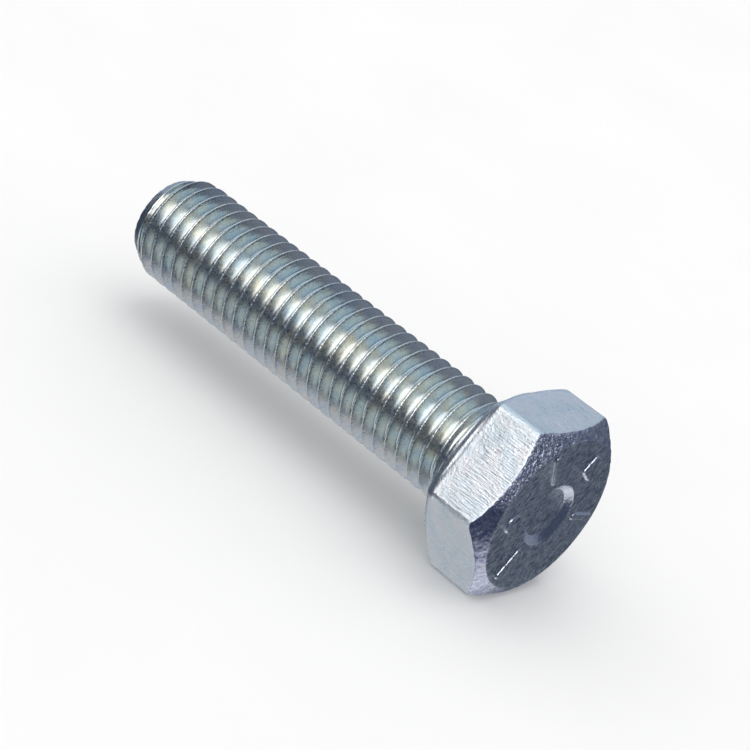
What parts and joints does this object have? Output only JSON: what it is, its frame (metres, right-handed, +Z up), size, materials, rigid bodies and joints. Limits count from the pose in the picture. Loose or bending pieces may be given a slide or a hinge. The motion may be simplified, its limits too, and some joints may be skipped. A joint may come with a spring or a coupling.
{
  "type": "hex head bolt",
  "caption": "Fully threaded hexagon-head steel bolt with a chamfered head, a washer face and a fine right-hand thread, bright zinc plated.",
  "frame": {"origin": "centre of the flat end face of the threaded tip, on the bolt's axis", "axes": "+X along the bolt's axis from the tip to the head, so the bearing face is at X = 31.75 mm; +Z up, square to a wrench flat, so the bolt lies on its side on the opposite flat; +Y towards a corner of the hexagon"},
  "size_m": [0.0373, 0.0142, 0.0126],
  "materials": {
    "head_zinc_plate": "bright zinc plate with a faint blue passivate over forged steel, satin on the wrench flats, finely grained on the top face and sparkling on the chamfer",
    "thread_zinc_plate": "bright zinc plate over a smooth rolled thread, with faint blue-green and straw tints and small nicks along the crests"
  },
  "bodies": {
    "root": {"hex_head": "head_zinc_plate", "threaded_shank": "thread_zinc_plate"}
  },
  "joints": []
}
